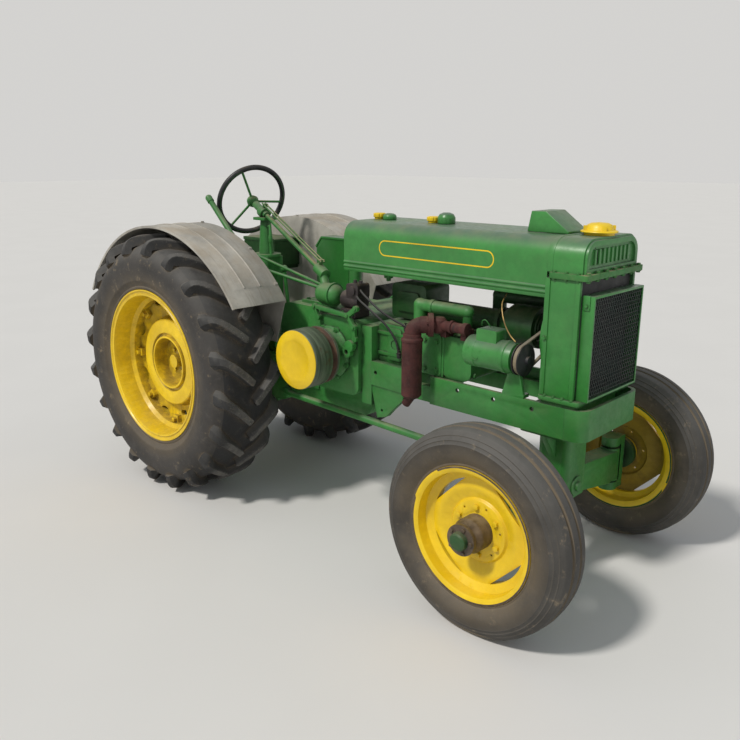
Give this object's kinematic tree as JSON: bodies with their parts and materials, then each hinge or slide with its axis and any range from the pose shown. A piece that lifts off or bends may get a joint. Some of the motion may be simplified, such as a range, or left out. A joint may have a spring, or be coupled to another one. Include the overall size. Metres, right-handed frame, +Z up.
{
  "type": "vintage two-cylinder farm tractor",
  "caption": "Low standard-tread farm tractor on rubber tyres, with steerable front wheels, side belt pulley, open engine, arched rear fenders and a drawbar.",
  "frame": {"origin": "on the floor, in the middle of the tractor's overall length and width", "axes": "+X forwards, along the tractor; +Y to its left; +Z up"},
  "size_m": [2.728, 1.208, 1.4171],
  "materials": {
    "green_paint": "gloss enamel, sunlit and dusty",
    "yellow_paint": "gloss enamel with dust",
    "weathered_sheet": "bare weathered sheet steel",
    "rusty_iron": "rust-brown, matt",
    "dark_iron": "dark, oily, matt",
    "worn_iron": "worn grey-green with brown band",
    "tyre": "dusty rubber",
    "belt": "worn belt"
  },
  "bodies": {
    "chassis": {"main_case": "green_paint", "axle_housings": "green_paint", "cylinder_block": "green_paint", "valve_cover": "green_paint", "pulley_housing": "green_paint", "frame_rails": "green_paint", "rail_brackets": "green_paint", "front_bolster": "green_paint", "front_axle": "green_paint", "top_tank": "green_paint", "bottom_tank": "green_paint", "radiator_sides": "green_paint", "radiator_guard": "green_paint", "fan_shroud": "green_paint", "hood": "green_paint", "fuel_tank": "green_paint", "limb_shields": "green_paint", "breather": "green_paint", "water_pipes": "green_paint", "intake_pipe": "green_paint", "generator": "green_paint", "steering_post": "green_paint", "steering_gear": "green_paint", "control_levers": "green_paint", "clutch_linkage": "green_paint", "platform": "green_paint", "seat": "green_paint", "tool_box": "green_paint", "drawbar": "green_paint", "radiator_core": "dark_iron", "filler_caps": "yellow_paint", "fan_housing": "dark_iron", "magneto": "rusty_iron", "exhaust_manifold": "rusty_iron", "muffler": "rusty_iron", "fan_belt": "belt", "fender_left": "weathered_sheet", "fender_right": "weathered_sheet", "battery_box": "dark_iron"},
    "rear_left": {"rear_wheel_left": "yellow_paint", "rear_tyre_left": "tyre"},
    "rear_right": {"rear_wheel_right": "yellow_paint", "rear_tyre_right": "tyre"},
    "front_left": {"front_wheel_left": "yellow_paint", "front_tyre_left": "tyre"},
    "front_right": {"front_wheel_right": "yellow_paint", "front_tyre_right": "tyre"},
    "kingpin_left": {"knuckle_left": "green_paint"},
    "kingpin_right": {"knuckle_right": "green_paint"},
    "tie_link": {"tie_rod": "green_paint"},
    "steer_link": {"drag_link": "green_paint"},
    "pitman": {"pitman_arm": "green_paint"},
    "hand_wheel": {"steering_wheel": "dark_iron"},
    "crankshaft": {"belt_pulley": "worn_iron", "pulley_cover": "yellow_paint", "flywheel": "green_paint"},
    "fan_rotor": {"fan": "dark_iron"}
  },
  "joints": [
    {"name": "steer_right", "type": "hinge", "parent": "chassis", "child": "kingpin_right", "pos_m": [1.026, -0.365, 0.338], "axis": [0, 0, 1], "range_deg": [-30, 30]},
    {"name": "steer_left", "type": "hinge", "parent": "chassis", "child": "kingpin_left", "pos_m": [1.026, 0.365, 0.338], "axis": [0, 0, 1], "range_deg": [-30, 30]},
    {"name": "front_wheel_spin_right", "type": "hinge", "parent": "kingpin_right", "child": "front_right", "pos_m": [1.026, -0.48, 0.338], "axis": [0, 1, 0], "continuous": true},
    {"name": "front_wheel_spin_left", "type": "hinge", "parent": "kingpin_left", "child": "front_left", "pos_m": [1.026, 0.48, 0.338], "axis": [0, 1, 0], "continuous": true},
    {"name": "rear_wheel_spin_right", "type": "hinge", "parent": "chassis", "child": "rear_right", "pos_m": [-0.674, -0.444, 0.567], "axis": [0, 1, 0], "continuous": true},
    {"name": "rear_wheel_spin_left", "type": "hinge", "parent": "chassis", "child": "rear_left", "pos_m": [-0.674, 0.444, 0.567], "axis": [0, 1, 0], "continuous": true},
    {"name": "tie_rod_swing", "type": "hinge", "parent": "kingpin_right", "child": "tie_link", "pos_m": [0.886, -0.365, 0.202], "axis": [0, 0, 1], "range_deg": [-30, 30]},
    {"name": "drag_link_swing", "type": "hinge", "parent": "kingpin_right", "child": "steer_link", "pos_m": [1.026, -0.165, 0.416], "axis": [0, 0, 1], "range_deg": [-30, 30]},
    {"name": "pitman_swing", "type": "hinge", "parent": "chassis", "child": "pitman", "pos_m": [-0.194, -0.196, 0.672], "axis": [0, 1, 0], "range_deg": [-30, 30]},
    {"name": "steering_wheel_turn", "type": "hinge", "parent": "chassis", "child": "hand_wheel", "pos_m": [-0.662, 0, 1.258], "axis": [0.9057, -0.2152, -0.3652], "range_deg": [-360, 360]},
    {"name": "crank_spin", "type": "hinge", "parent": "chassis", "child": "crankshaft", "pos_m": [0.101, 0, 0.703], "axis": [0, 1, 0], "continuous": true},
    {"name": "fan_spin", "type": "hinge", "parent": "chassis", "child": "fan_rotor", "pos_m": [0.966, 0, 0.885], "axis": [1, 0, 0], "continuous": true}
  ],
  "couplings": [
    {"joint": "steer_left", "follows": "steer_right", "ratio": 1},
    {"joint": "tie_rod_swing", "follows": "steer_right", "ratio": -1},
    {"joint": "drag_link_swing", "follows": "steer_right", "ratio": -1},
    {"joint": "pitman_swing", "follows": "steer_right", "ratio": 1},
    {"joint": "steering_wheel_turn", "follows": "steer_right", "ratio": -12}
  ]
}
